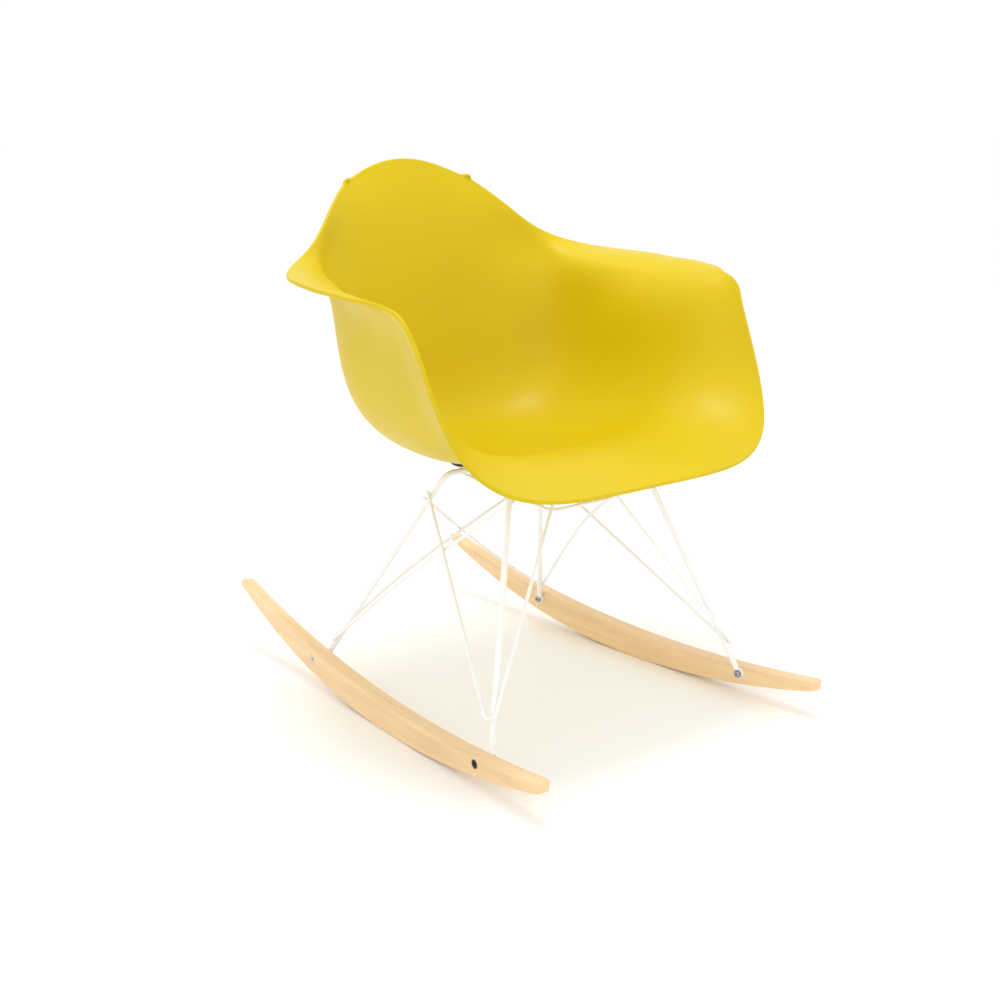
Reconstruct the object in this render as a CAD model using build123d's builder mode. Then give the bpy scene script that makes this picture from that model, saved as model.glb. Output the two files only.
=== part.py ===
from build123d import *
from math import atan2, cos, degrees, radians, sin, tan
import os

# A rocking chair: a one-piece armchair shell on a base of bent rods and thin
# braces, bolted to two curved wooden runners.
# Frame: +Z up, floor at z = 0, X across the chair, the chair faces -Y. Left is
# -X, as seen from the front. All sizes are in millimetres.

os.makedirs("parts", exist_ok=True)

# ---- runners ----
runner_length = 716
runner_width = 21
runner_gap = 401            # between the inner faces, at y = 0
runner_toe = 3.3            # degrees; the runners spread towards the front
contact_y = -48             # where the runners touch the floor
front_arc, rear_arc = 1250, 950
front_tip_top, mid_top, rear_tip_top = 52, 39, 96
tip_round = 7               # upright edges of the runner tips

# ---- seat shell ----
wall = 5
fan_y, fan_z = -90, 640     # axis, parallel to X, that every section passes through
lip_power = 8               # how late the wall turns out into the arm
arm_flare = 88              # how far the arm's rim stands out from the bucket
lip_roll = 0.14             # how far the arm levels off at its rim
front_bend = 12             # degrees; how the front edge snakes forwards and back
top_bend = 5                # degrees; how far the top edge drops towards its ends
edge_round, tip_corner = 1.5, 40            # rim edges, and the corners of the arm tips
boss_radius, boss_height = 15, 6
front_mount_angle, rear_mount_angle = -12.5, 19.5

# each section: angle from straight down, depth at the middle, half width of the
# bucket, squareness of its corners, how much of the side's curve is kept, half
# width of the rim, depth of the rim
sections = [
    (-32.6, 363, 259, 4.2, 1, 270, 119),
    (-24, 316, 247, 3.8, 1, 276, 98),
    (front_mount_angle, 292, 232, 3.4, 1, 286, 87.5),
    (3, 307, 222, 3.2, 1, 293, 84),
    (rear_mount_angle, 334, 214, 3.1, 1, 296, 86.5),
    (36, 354, 209, 3.0, 1, 296, 99.5),
    (52, 315, 204, 2.8, 1, 293, 126),
    (63, 292, 198, 2.6, 1, 282, 164),
    (71, 283, 192, 2.4, 0.95, 247, 208),
    (78, 281, 176, 2.2, 0.85, 196, 237),
    (86, 285, 150, 2.0, 0.7, 155, 257),
    (93, 294, 117, 2.0, 0.55, 118, 281),
    (100, 310, 100, 2.0, 0.5, 100, 288.5),
]
surface_tol, surface_smoothing = 0.3, (1, 1, 0.3)
# shares of the side's height where a section's points are placed
side_steps = (0, 0.005, 0.02, 0.06, 0.13, 0.24, 0.38, 0.53, 0.67, 0.79, 0.88, 0.95, 1)

# ---- rods of the base ----
leg_rod, brace_rod = 7.6, 4.6
leg_bend, brace_bend, rail_bend = 16, 8, 14
front_bar_half, rear_bar_half = 105, 81     # corners of the two arches
bar_clear = 10.5            # a crossbar passes this far behind or before its screws
front_foot_y, front_foot_z = -240, 31       # bolt holes in the runners
rear_foot_y, rear_foot_z = 143, 40
rail_half, rail_y, rail_z = 55, -163, 285   # front corners of the under-seat rail
rail_rear_half = 50
weld_gap = 0.1              # left between rods that are welded side by side
cross_gap = 6.2             # distance along Y between the two rear braces where they cross
brace_low, brace_high = 66, 264             # where a rear brace meets the legs
brace_overrun = 5           # how far a brace's end runs past its weld
cross_y, cross_z = 89, 197  # where the two rear braces cross
side_mid = [(144, 21, 172), (120.3, -45, 226)]      # points on a bowed side brace
side_high = 306
vee_low, vee_high = 60, 272                 # sharp corner of a V brace, and its upper weld
vee_off = (10.6, -7.7)       # the V stands this far outside and before the leg

# ---- fasteners and mounts ----
eye_radius, eye_thick = 7, 4.5
bolt_d, bolt_head_r, bolt_head_h = 5, 4.75, 2.8
hex_key = 3
socket_share, dome_share = 0.6, 0.7         # of a head's height: its hex socket, its rounding
clearance = 0.2
barrel_r, barrel_flange_r, barrel_flange_h, barrel_length = 4.2, 5.5, 1.6, 15
barrel_end, barrel_socket = 3, 2.4          # closed outer end of a barrel nut, and the socket in it
washer_r, washer_h = 6, 1
mount_half = 46             # mounts stand this far from the middle
pad_radius, pad_height = 17, 6
plate_radius, plate_thick = 15, 2.5
screw_d, screw_head_r, screw_head_h = 5, 4.75, 3
insert_r, insert_depth = 3.6, 8
screw_gap = 1               # between a screw's end and the bottom of its insert's hole


def save(piece, name):
    piece.label = name
    export_step(piece, f"parts/{name}.step")


# ================= seat shell =================
def fan_point(angle, depth, across=0):
    turn = radians(angle)
    return Vector(across, fan_y + depth * sin(turn), fan_z - depth * cos(turn))


def section_curve(share, depth, half, squareness, kept, rim_half, rim_depth):
    rise = (1 - (1 - kept * share) ** squareness) / (1 - (1 - kept) ** squareness)
    bucket = half * rise ** (1 / squareness)
    across = bucket + (rim_half - half) * share ** lip_power
    roll = lip_roll * (rim_half - half) / arm_flare
    levelled = share + roll * (share ** 6 - share ** 14)
    return across, depth - (depth - rim_depth) * levelled


def section_side(profile, inset):
    """Points from the middle of a section out to its rim, moved out by inset."""
    points = [(0, profile[0] + inset)]
    for share in side_steps[1:]:
        step = min(share, 0.01) / 4
        x0, r0 = section_curve(share - step, *profile)
        x1, r1 = section_curve(min(share + step, 1), *profile)
        along = Vector(x1 - x0, r1 - r0).normalized()
        across, down = section_curve(share, *profile)
        points.append((across - along.Y * inset, down + along.X * inset))
    return points


def whole_section(profile, inset):
    side = section_side(profile, inset)
    return [(-across, down) for across, down in reversed(side[1:])] + side


def section_row(angle, profile):
    """Points of one section in space; the first and last sections are bent out of plane."""
    row = []
    for share, (across, depth) in zip(side_steps[:0:-1] + side_steps, whole_section(profile, 0)):
        turn = angle
        if angle == sections[0][0]:
            turn += front_bend * share ** 0.7 * (0.8 - share)
        if angle == sections[-1][0]:
            turn -= top_bend * (across / profile[1]) ** 2
        row.append(fan_point(turn, depth, across))
    return row


def mount_plane(angle, neighbours):
    """Plane on the shell's underside, tilted with the seat, half way across."""
    profile = next(s[1:] for s in sections if s[0] == angle)
    side = [p for p in section_side(profile, wall) if p[0] <= mount_half]
    after = [p for p in section_side(profile, wall) if p[0] > mount_half][0]
    before = side[-1]
    part_way = (mount_half - before[0]) / (after[0] - before[0])
    depth = before[1] + (after[1] - before[1]) * part_way
    a, b = (fan_point(s[0], s[1]) for s in sections if s[0] in neighbours)
    tilt = degrees(atan2(b.Z - a.Z, b.Y - a.Y))
    normal = (0, -sin(radians(tilt)), cos(radians(tilt)))
    return Plane(origin=fan_point(angle, depth), x_dir=(1, 0, 0), z_dir=normal)


front_mount = mount_plane(front_mount_angle, (-24, 3))
rear_mount = mount_plane(rear_mount_angle, (3, 36))
mounts = [(front_mount, -1), (front_mount, 1), (rear_mount, -1), (rear_mount, 1)]


def side_name(side):
    return "left" if side < 0 else "right"


boss_top = boss_height + wall / 2
inner_points = [section_row(angle, profile) for angle, *profile in sections]
with BuildPart() as seat_shell:
    inside = Face.make_surface_from_array_of_points(
        inner_points, tol=surface_tol, smoothing=surface_smoothing, min_deg=3, max_deg=5)
    thicken(inside, amount=wall)
    corners = seat_shell.edges().filter_by(lambda e: e.length < 2 * wall)
    fillet(corners.filter_by(lambda e: e.center().Y < 0), radius=tip_corner)
    fillet(seat_shell.edges().filter_by(lambda e: e.length > 2 * wall), radius=edge_round)
    for plane, side in mounts:
        with BuildSketch(plane.offset(-boss_height)):
            with Locations((side * mount_half, 0)):
                Circle(boss_radius)
        extrude(amount=boss_top)
        with BuildSketch(plane.offset(-boss_height)):
            with Locations((side * mount_half, 0)):
                Circle(insert_r)
        extrude(amount=insert_depth, mode=Mode.SUBTRACT)
save(seat_shell.part, "seat_shell")


# ================= mounts under the seat =================
def at_mount(plane, side, drop):
    """Plane below the seat, centred on one mount."""
    spot = plane.offset(-drop)
    return Plane(origin=spot.from_local_coords((side * mount_half, 0, 0)), x_dir=spot.x_dir,
                 z_dir=spot.z_dir)


def disc(planes, radius, height, hole):
    """One flat ring on each plane, standing up from it."""
    with BuildPart() as rings:
        for plane in planes:
            with BuildSketch(plane):
                Circle(radius)
                Circle(hole, mode=Mode.SUBTRACT)
            extrude(amount=height)
    return rings.part


pad_drop = boss_height + pad_height
plate_drop = pad_drop + plate_thick
washer_drop = plate_drop + washer_h
for place, plane in (("front", front_mount), ("rear", rear_mount)):
    for side in (-1, 1):
        pad = disc([at_mount(plane, side, pad_drop)], pad_radius, pad_height, screw_d / 2 + clearance)
        save(pad, f"rubber_mount_{place}_{side_name(side)}")
        tab = disc([at_mount(plane, side, plate_drop)], plate_radius, plate_thick,
                   screw_d / 2 + clearance)
        save(tab, f"mount_plate_{place}_{side_name(side)}")

inserts = [at_mount(plane, side, boss_height) for plane, side in mounts]
save(disc(inserts, insert_r, insert_depth, screw_d / 2), "seat_inserts")
screw_washers = [at_mount(plane, side, washer_drop) for plane, side in mounts]
save(disc(screw_washers, washer_r, washer_h, screw_d / 2 + clearance), "seat_screw_washers")

with BuildPart() as seat_screws:
    for plane, side in mounts:
        under = at_mount(plane, side, washer_drop)
        with BuildSketch(under):
            Circle(screw_d / 2)
        extrude(amount=washer_drop - boss_height + insert_depth - screw_gap)
        with BuildSketch(under.offset(-screw_head_h)):
            Circle(screw_head_r)
        extrude(amount=screw_head_h)
        with BuildSketch(under.offset(-screw_head_h)):
            RegularPolygon(hex_key / 2, 6, major_radius=False)
        extrude(amount=screw_head_h * socket_share, mode=Mode.SUBTRACT)
save(seat_screws.part, "seat_screws")


# ================= runners =================
def outward(side):
    turn = radians(runner_toe)
    return Vector(side * cos(turn), sin(turn), 0)


def runner_plane(side, out=0):
    """Side plane of a runner: local x runs back, local y up, out from the inner face."""
    back = Vector(-side * sin(radians(runner_toe)), cos(radians(runner_toe)), 0)
    start = Vector(side * runner_gap / 2, 0, 0) + outward(side) * out
    return Plane(origin=start, x_dir=back, z_dir=back.cross(Vector(0, 0, 1)))


def arc_height(radius, along):
    return radius - (radius ** 2 - (along - contact_y) ** 2) ** 0.5


slant = radians(runner_toe)
front_end = -runner_length / 2 / cos(slant)
rear_end = runner_length / 2 / cos(slant) - runner_width * tan(slant)
bolt_spots = [(front_foot_y / cos(slant), front_foot_z), (rear_foot_y / cos(slant), rear_foot_z)]


def bolt_plane(side, spot, out):
    """Plane across a runner bolt, facing outwards, out from the runner's inner face."""
    at = runner_plane(side, out).from_local_coords((spot[0], spot[1], 0))
    return Plane(origin=at, x_dir=(0, 0, 1), z_dir=outward(side))


def make_runner(side):
    ends = [(front_end, arc_height(front_arc, front_end)), (rear_end, arc_height(rear_arc, rear_end))]
    tops = [(front_end, front_tip_top), (0, mid_top), (rear_end, rear_tip_top)]
    with BuildPart() as runner:
        with BuildSketch(runner_plane(side)):
            with BuildLine():
                TangentArc((contact_y, 0), ends[0], tangent=(-1, 0))
                TangentArc((contact_y, 0), ends[1], tangent=(1, 0))
                ThreePointArc(*tops)
                Line(ends[0], tops[0])
                Line(ends[1], tops[2])
            make_face()
        extrude(amount=runner_width * side)
        fillet(runner.edges().filter_by(Axis.Z), radius=tip_round)
        fillet(runner.edges() - runner.edges().filter_by(Axis.Z), radius=edge_round)
        for spot in bolt_spots:
            with BuildSketch(bolt_plane(side, spot, 0)):
                Circle(barrel_r + clearance)
            extrude(amount=runner_width, mode=Mode.SUBTRACT)
            with BuildSketch(bolt_plane(side, spot, runner_width)):
                Circle(barrel_flange_r + clearance)
            extrude(amount=-barrel_flange_h, mode=Mode.SUBTRACT)
    return runner.part


for side in (-1, 1):
    save(make_runner(side), f"runner_{side_name(side)}")


# ================= runner bolts =================
def make_bolt(side, spot):
    head = bolt_plane(side, spot, -eye_thick - washer_h)
    with BuildPart() as bolt:
        with BuildSketch(head):
            Circle(bolt_d / 2)
        extrude(amount=eye_thick + washer_h + barrel_length)
        with BuildSketch(head.offset(-bolt_head_h)):
            Circle(bolt_head_r)
        extrude(amount=bolt_head_h)
        rims = bolt.edges().filter_by(GeomType.CIRCLE).filter_by(lambda e: e.radius > bolt_d / 2 + clearance)
        dome = rims.sort_by(lambda e: (e.center() - head.origin).dot(head.z_dir))[0]
        fillet(dome, radius=bolt_head_h * dome_share)
        with BuildSketch(head.offset(-bolt_head_h)):
            RegularPolygon(hex_key / 2, 6, major_radius=False)
        extrude(amount=bolt_head_h * socket_share, mode=Mode.SUBTRACT)
    return bolt.part


def make_barrel(side, spot):
    face = bolt_plane(side, spot, runner_width)
    with BuildPart() as barrel:
        with BuildSketch(face):
            Circle(barrel_flange_r)
        extrude(amount=-barrel_flange_h)
        with BuildSketch(face):
            Circle(barrel_r)
        extrude(amount=-barrel_length)
        with BuildSketch(face.offset(-barrel_length)):
            Circle(bolt_d / 2)
        extrude(amount=barrel_length - barrel_end, mode=Mode.SUBTRACT)
        with BuildSketch(face):
            RegularPolygon(hex_key / 2, 6, major_radius=False)
        extrude(amount=-barrel_socket, mode=Mode.SUBTRACT)
    return barrel.part


for place, spot in (("front", bolt_spots[0]), ("rear", bolt_spots[1])):
    for side in (-1, 1):
        save(make_bolt(side, spot), f"runner_bolt_{place}_{side_name(side)}")
        save(make_barrel(side, spot), f"barrel_nut_{place}_{side_name(side)}")
        washer = disc([bolt_plane(side, spot, -eye_thick - washer_h)], washer_r, washer_h,
                      bolt_d / 2 + clearance)
        save(washer, f"runner_washer_{place}_{side_name(side)}")


# ================= rods of the base =================
def rod(path, diameter):
    """A round rod along a path that is already drawn."""
    with BuildPart() as bar:
        with BuildSketch(Plane(origin=path @ 0, z_dir=path % 0)):
            Circle(diameter / 2)
        sweep(path=path)
    return bar.part


def bent_path(points, radius):
    with BuildLine() as path:
        FilletPolyline(*points, radius=radius)
    return path.line


def foot_centre(side, spot):
    return bolt_plane(side, spot, -eye_thick / 2).origin


def make_arch(corner, spot):
    """A rod bent into an arch, with a flat eye at each foot for the runner bolt."""
    other = Vector(-corner.X, corner.Y, corner.Z)
    points = [foot_centre(-1, spot), corner, other, foot_centre(1, spot)]
    with BuildPart() as arch:
        add(rod(bent_path(points, leg_bend), leg_rod))
        for side in (-1, 1):
            face = bolt_plane(side, spot, -eye_thick)
            with BuildSketch(face):
                Circle(eye_radius)
            extrude(amount=eye_thick)
            with BuildSketch(bolt_plane(side, spot, 0)):
                Circle(eye_radius * 3)
            extrude(amount=leg_rod, mode=Mode.SUBTRACT)
            with BuildSketch(face):
                Circle(washer_r + clearance)
            extrude(amount=-leg_rod, mode=Mode.SUBTRACT)
            with BuildSketch(face):
                Circle(bolt_d / 2 + clearance)
            extrude(amount=eye_thick, mode=Mode.SUBTRACT)
    return arch.part


def bar_under(plane, half, shift):
    """Corner of an arch whose crossbar carries the mount plates."""
    drop = plate_drop + leg_rod / 2
    at = plane.from_local_coords((0, shift, -drop))
    return Vector(-half, at.Y, at.Z)


front_bar = bar_under(front_mount, front_bar_half, bar_clear)
rear_bar = bar_under(rear_mount, rear_bar_half, -bar_clear)
save(make_arch(front_bar, bolt_spots[0]), "front_leg_arch")
save(make_arch(rear_bar, bolt_spots[1]), "rear_leg_arch")


# ================= braces =================
class Leg:
    """The straight stretch of one leg, from its foot to the corner of its arch."""
    def __init__(self, side, corner, spot):
        self.foot = foot_centre(side, spot)
        self.top = Vector(side * abs(corner.X), corner.Y, corner.Z)
        self.along = (self.top - self.foot).normalized()

    def at(self, height):
        return self.foot + self.along * ((height - self.foot.Z) / self.along.Z)

    def beside(self, height, heading, towards):
        """Centre of a brace that touches the leg at a height and heads another way."""
        out = self.along.cross(heading).normalized()
        if out.dot(towards) < 0:
            out = -out
        return self.at(height) + out * weld


def rail_corner(side):
    """Middle of the bend at a front corner of the rail."""
    cut = rail_bend * (1 - 0.5 ** 0.5)
    return Vector(side * (rail_half - cut), rail_y + cut, rail_z)


weld = (leg_rod + brace_rod) / 2 + weld_gap
legs = {(place, side): Leg(side, corner, spot) for side in (-1, 1)
        for place, corner, spot in (("front", front_bar, bolt_spots[0]), ("rear", rear_bar, bolt_spots[1]))}
for side in (-1, 1):
    front, rear, across = legs["front", side], legs["rear", side], legs["rear", -side]
    outside, behind = Vector(side, 0, 0), Vector(0, 1, 0)

    # rear brace: from the foot of one rear leg to the top of the other
    middle = Vector(0, cross_y + side * cross_gap / 2, cross_z)
    low = rear.beside(brace_low, middle - rear.at(brace_low), behind)
    high = across.beside(brace_high, across.at(brace_high) - middle, behind)
    end = high + (high - middle).normalized() * brace_overrun
    with BuildLine() as path:
        Spline(low, middle, high, end)
    save(rod(path.line, brace_rod), f"rear_brace_{side_name(side)}")

    # side brace: from the foot of the rear leg to the top of the front leg
    bow = [Vector(side * x, y, z) for x, y, z in side_mid]
    low = rear.beside(brace_low - brace_rod, bow[0] - rear.at(brace_low), outside)
    high = front.beside(side_high, front.at(side_high) - bow[1], -outside)
    with BuildLine() as path:
        Spline(low, *bow, high, tangents=[bow[0] - low, high - bow[1]])
    save(rod(path.line, brace_rod), f"side_brace_{side_name(side)}")

    # V brace: one limb up to the rear leg, one up to the rail, bent at the front foot
    low = front.at(vee_low) + Vector(side * vee_off[0], vee_off[1], 0)
    back = rear.beside(vee_high, rear.at(vee_high) - low, outside)
    rail_out = Vector(side, 1, 0).cross(low - rail_corner(side)).normalized() * (brace_rod + weld_gap)
    top = rail_corner(side) + rail_out * (1 if rail_out.Y < 0 else -1)
    limbs = [back + (back - low).normalized() * brace_overrun, low,
             top + (top - low).normalized() * brace_overrun]
    save(rod(bent_path(limbs, brace_bend), brace_rod), f"vee_brace_{side_name(side)}")

rail_rise = (rear_bar.Z - weld - rail_z) / (rear_bar.Y - rail_y)
rail_rear_y = rear_bar.Y + leg_rod
rail_rear_z = rail_z + rail_rise * (rail_rear_y - rail_y)
rail_points = [(-rail_rear_half, rail_rear_y, rail_rear_z), (-rail_half, rail_y, rail_z),
               (rail_half, rail_y, rail_z), (rail_rear_half, rail_rear_y, rail_rear_z)]
save(rod(bent_path(rail_points, rail_bend), brace_rod), "seat_rail")
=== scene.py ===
import math

import bpy
from mathutils import Euler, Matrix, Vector

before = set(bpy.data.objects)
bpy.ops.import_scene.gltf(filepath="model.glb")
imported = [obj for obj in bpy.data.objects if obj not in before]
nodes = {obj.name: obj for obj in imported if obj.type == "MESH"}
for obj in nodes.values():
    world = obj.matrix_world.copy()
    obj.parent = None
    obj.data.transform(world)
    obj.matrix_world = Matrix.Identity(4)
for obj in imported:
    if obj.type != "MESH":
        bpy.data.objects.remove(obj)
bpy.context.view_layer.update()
print("frame loaded:", len(nodes), "pieces")


# camera
camera = {
    "place": (-1.1878, -1.4576, 0.7565),
    "turn": 39.1,       # degrees from +Y towards +X
    "tilt": 14.9,       # degrees below level
    "lens": 52.7,       # mm, on a 36 mm sensor
}


def addCamera(settings):
    data = bpy.data.cameras.new("camera")
    data.lens = settings["lens"]
    data.sensor_width = 36
    made = bpy.data.objects.new("camera", data)
    made.location = settings["place"]
    lean = math.radians(90 - settings["tilt"])
    made.rotation_euler = Euler((lean, 0, -math.radians(settings["turn"])))
    bpy.context.scene.collection.objects.link(made)
    bpy.context.scene.camera = made


addCamera(camera)
print("camera placed")


# material helpers: every pattern reads Object coordinates, in metres
def newMaterial(name):
    material = bpy.data.materials.new(name)
    material.use_nodes = True
    tree = material.node_tree
    shader = next(n for n in tree.nodes if n.type == "BSDF_PRINCIPLED")
    return material, tree, shader


def objectPlace(tree, scale=(1, 1, 1)):
    coordinates = tree.nodes.new("ShaderNodeTexCoord")
    mapping = tree.nodes.new("ShaderNodeMapping")
    mapping.inputs["Scale"].default_value = scale
    tree.links.new(coordinates.outputs["Object"], mapping.inputs["Vector"])
    return mapping.outputs["Vector"]


def noise(tree, place, scale, detail=2, rough=0.5, distortion=0):
    node = tree.nodes.new("ShaderNodeTexNoise")
    node.inputs["Scale"].default_value = scale
    node.inputs["Detail"].default_value = detail
    node.inputs["Roughness"].default_value = rough
    node.inputs["Distortion"].default_value = distortion
    tree.links.new(place, node.inputs["Vector"])
    return node.outputs["Fac"]


def ramp(tree, value, *stops):
    node = tree.nodes.new("ShaderNodeValToRGB")
    band = node.color_ramp
    while len(band.elements) < len(stops):
        band.elements.new(0.5)
    for element, (where, colour) in zip(band.elements, stops):
        element.position = where
        element.color = (*colour, 1) if len(colour) == 3 else colour
    tree.links.new(value, node.inputs["Fac"])
    return node.outputs["Color"]


def between(tree, value, low, high, start=0.0, end=1.0):
    node = tree.nodes.new("ShaderNodeMapRange")
    node.inputs["From Min"].default_value = start
    node.inputs["From Max"].default_value = end
    node.inputs["To Min"].default_value = low
    node.inputs["To Max"].default_value = high
    tree.links.new(value, node.inputs["Value"])
    return node.outputs["Result"]


def multiplied(tree, first, second, amount):
    node = tree.nodes.new("ShaderNodeMix")
    node.data_type = "RGBA"
    node.blend_type = "MULTIPLY"
    node.inputs["Factor"].default_value = amount
    tree.links.new(first, node.inputs["A"])
    tree.links.new(second, node.inputs["B"])
    return node.outputs["Result"]


def bumped(tree, shader, *layers):
    below = None
    for height, distance, strength in layers:
        node = tree.nodes.new("ShaderNodeBump")
        node.inputs["Distance"].default_value = distance
        node.inputs["Strength"].default_value = strength
        tree.links.new(height, node.inputs["Height"])
        if below:
            tree.links.new(below, node.inputs["Normal"])
        below = node.outputs["Normal"]
    tree.links.new(below, shader.inputs["Normal"])


# seat shell: moulded plastic, satin, with the fine grain of its mould
shell = {
    "colour": (0.665, 0.50, 0.002),
    "deeper": (0.625, 0.465, 0.002),
    "gloss": (0.36, 0.46),      # roughness, between its smoothest and dullest spots
    "grain": 1600,              # bumps to the metre, about 0.6 mm each
    "grainDepth": 0.00006,
}


def shellPlastic(look):
    material, tree, shader = newMaterial("satinYellowPlastic")
    place = objectPlace(tree)
    drift = noise(tree, place, 5, 2)
    fine = noise(tree, place, look["grain"], 3, 0.6)
    flow = noise(tree, place, 22, 2)
    tree.links.new(ramp(tree, drift, (0.3, look["deeper"]), (0.7, look["colour"])),
                   shader.inputs["Base Color"])
    tree.links.new(between(tree, fine, *look["gloss"], 0.3, 0.7), shader.inputs["Roughness"])
    shader.inputs["Specular IOR Level"].default_value = 0.22
    bumped(tree, shader, (flow, 0.0004, 0.25), (fine, look["grainDepth"], 0.5))
    return material


# rods, mount plates: white powder coat over steel
rods = {
    "colour": (0.93, 0.93, 0.93),
    "thin": (0.89, 0.89, 0.89),
    "gloss": (0.34, 0.48),
    "peel": 650,                # orange peel waves to the metre, about 1.5 mm each
    "peelDepth": 0.00007,
}


def powderCoat(look):
    material, tree, shader = newMaterial("whitePowderCoat")
    place = objectPlace(tree)
    peel = noise(tree, place, look["peel"], 2, 0.45)
    patch = noise(tree, place, 40, 3)
    tree.links.new(ramp(tree, patch, (0.25, look["thin"]), (0.6, look["colour"])),
                   shader.inputs["Base Color"])
    tree.links.new(between(tree, peel, *look["gloss"], 0.3, 0.7), shader.inputs["Roughness"])
    shader.inputs["Specular IOR Level"].default_value = 0.5
    bumped(tree, shader, (peel, look["peelDepth"], 0.45))
    return material


# runners: light maple with straight grain along their length, clear satin lacquer
runners = {
    "light": (0.90, 0.655, 0.375),
    "middle": (0.86, 0.605, 0.33),
    "dark": (0.79, 0.535, 0.275),
    "gloss": (0.34, 0.50),
    "grainSize": (120, 1.8, 90),        # figure to the metre across, along and up
    "poreSize": (1500, 34, 1500),
    "poreDepth": 0.00008,
    "cloudTint": (0.90, 0.88, 0.84),
    "cloudAmount": 0.35,
    "poreTint": (0.62, 0.5, 0.38),
    "poreAmount": 0.2,
}


def mapleWood(look):
    material, tree, shader = newMaterial("lightMaple")
    figure = noise(tree, objectPlace(tree, look["grainSize"]), 1, 4, 0.55, 0.3)
    pores = noise(tree, objectPlace(tree, look["poreSize"]), 1, 2, 0.6)
    cloud = noise(tree, objectPlace(tree), 9, 3)
    base = ramp(tree, figure, (0.28, look["dark"]), (0.46, look["middle"]), (0.66, look["light"]))
    shade = ramp(tree, cloud, (0.3, look["cloudTint"]), (0.7, (1, 1, 1)))
    fleck = ramp(tree, pores, (0.32, look["poreTint"]), (0.44, (1, 1, 1)))
    clouded = multiplied(tree, base, shade, look["cloudAmount"])
    flecked = multiplied(tree, clouded, fleck, look["poreAmount"])
    tree.links.new(flecked, shader.inputs["Base Color"])
    tree.links.new(between(tree, figure, *look["gloss"], 0.3, 0.7), shader.inputs["Roughness"])
    shader.inputs["Specular IOR Level"].default_value = 0.45
    shader.inputs["Coat Weight"].default_value = 0.15
    shader.inputs["Coat Roughness"].default_value = 0.3
    bumped(tree, shader, (figure, 0.0002, 0.12), (pores, look["poreDepth"], 0.35))
    return material


# rubber mounts: matt black rubber with a faint bloom
rubber = {
    "colour": (0.018, 0.018, 0.018),
    "bloom": (0.045, 0.044, 0.042),
    "gloss": (0.62, 0.8),
}


def blackRubber(look):
    material, tree, shader = newMaterial("mattBlackRubber")
    place = objectPlace(tree)
    bloom = noise(tree, place, 120, 4, 0.6)
    skin = noise(tree, place, 2600, 2)
    tree.links.new(ramp(tree, bloom, (0.4, look["colour"]), (0.75, look["bloom"])),
                   shader.inputs["Base Color"])
    tree.links.new(between(tree, bloom, *look["gloss"], 0.3, 0.7), shader.inputs["Roughness"])
    bumped(tree, shader, (skin, 0.00005, 0.5))
    return material


# fasteners: plated or blackened steel and brass, each with its own scratches
fasteners = {
    "zincPlate": {"colour": (0.60, 0.61, 0.62), "dull": (0.47, 0.47, 0.47), "gloss": (0.26, 0.42)},
    "polishedSteel": {"colour": (0.42, 0.43, 0.45), "dull": (0.33, 0.33, 0.35), "gloss": (0.10, 0.22)},
    "blackOxide": {"colour": (0.022, 0.022, 0.024), "dull": (0.05, 0.05, 0.05), "gloss": (0.30, 0.46)},
    "plainBrass": {"colour": (0.66, 0.48, 0.20), "dull": (0.50, 0.35, 0.13), "gloss": (0.28, 0.44)},
}


def fastenerMetal(name, look):
    material, tree, shader = newMaterial(name)
    spots = noise(tree, objectPlace(tree), 900, 4, 0.65)
    turned = noise(tree, objectPlace(tree, (300, 6000, 6000)), 1, 2)
    tree.links.new(ramp(tree, spots, (0.35, look["dull"]), (0.6, look["colour"])),
                   shader.inputs["Base Color"])
    tree.links.new(between(tree, spots, *look["gloss"], 0.3, 0.7), shader.inputs["Roughness"])
    shader.inputs["Metallic"].default_value = 1
    bumped(tree, shader, (turned, 0.00003, 0.35))
    return material


def dress(material, *starts):
    for name, node in nodes.items():
        if name.startswith(starts):
            node.data.materials.clear()
            node.data.materials.append(material)
            for face in node.data.polygons:
                face.material_index = 0


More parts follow.
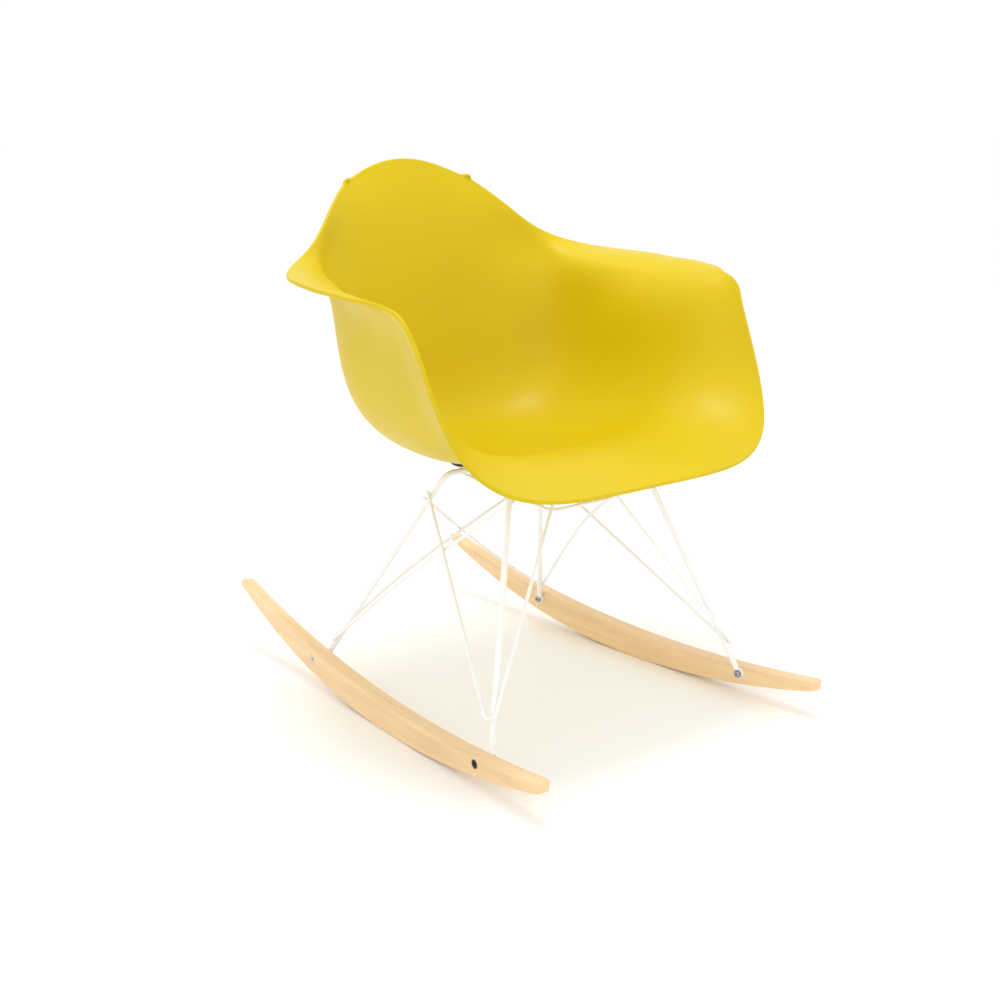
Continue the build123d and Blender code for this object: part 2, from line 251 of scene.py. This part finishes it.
dress(shellPlastic(shell), "seat_shell")
white = powderCoat(rods)
dress(white, "front_leg", "rear_leg", "seat_rail", "mount_plate")
dress(white, "rear_brace", "side_brace", "vee_brace")
dress(mapleWood(runners), "runner_left", "runner_right")
dress(blackRubber(rubber), "rubber_mount")
metals = {name: fastenerMetal(name, look) for name, look in fasteners.items()}
dress(metals["zincPlate"], "seat_screw", "runner_washer", "barrel_nut_rear")
dress(metals["polishedSteel"], "runner_bolt")
dress(metals["blackOxide"], "barrel_nut_front")
dress(metals["plainBrass"], "seat_inserts")
print("materials on")


# floor, light
studio = {
    "floorColour": (0.985, 0.985, 0.985),
    "floorSize": 60,
    "sky": 1.04,
    "overhead": {"place": (0, 0.1, 3.0), "size": 1.0, "power": 26},
    "side": {"place": (-2.6, -1.6, 1.9), "size": 2.0, "power": 5},
}


def addFloor(look):
    bpy.ops.object.select_all(action="DESELECT")
    bpy.ops.mesh.primitive_plane_add(size=look["floorSize"])
    floor = bpy.context.active_object
    floor.name = "floor"
    material, tree, shader = newMaterial("paleFloor")
    patch = noise(tree, objectPlace(tree), 3, 3)
    colour = look["floorColour"]
    tree.links.new(ramp(tree, patch, (0.3, [c * 0.99 for c in colour]), (0.7, colour)),
                   shader.inputs["Base Color"])
    shader.inputs["Roughness"].default_value = 0.75
    shader.inputs["Specular IOR Level"].default_value = 0.1
    floor.data.materials.append(material)


def addSoftbox(name, look, target=Vector((0, 0, 0.35))):
    data = bpy.data.lights.new(name, "AREA")
    data.shape = "DISK"
    data.size = look["size"]
    data.energy = look["power"]
    made = bpy.data.objects.new(name, data)
    made.location = look["place"]
    aim = target - Vector(look["place"])
    made.rotation_euler = aim.to_track_quat("-Z", "Y").to_euler()
    bpy.context.scene.collection.objects.link(made)


def addSky(strength):
    world = bpy.data.worlds.new("sky")
    world.use_nodes = True
    background = next(n for n in world.node_tree.nodes if n.type == "BACKGROUND")
    background.inputs["Color"].default_value = (1, 1, 1, 1)
    background.inputs["Strength"].default_value = strength
    bpy.context.scene.world = world


addFloor(studio)
addSoftbox("overhead", studio["overhead"])
addSoftbox("side", studio["side"])
addSky(studio["sky"])
bpy.context.scene.view_settings.view_transform = "Standard"
print("studio lit")
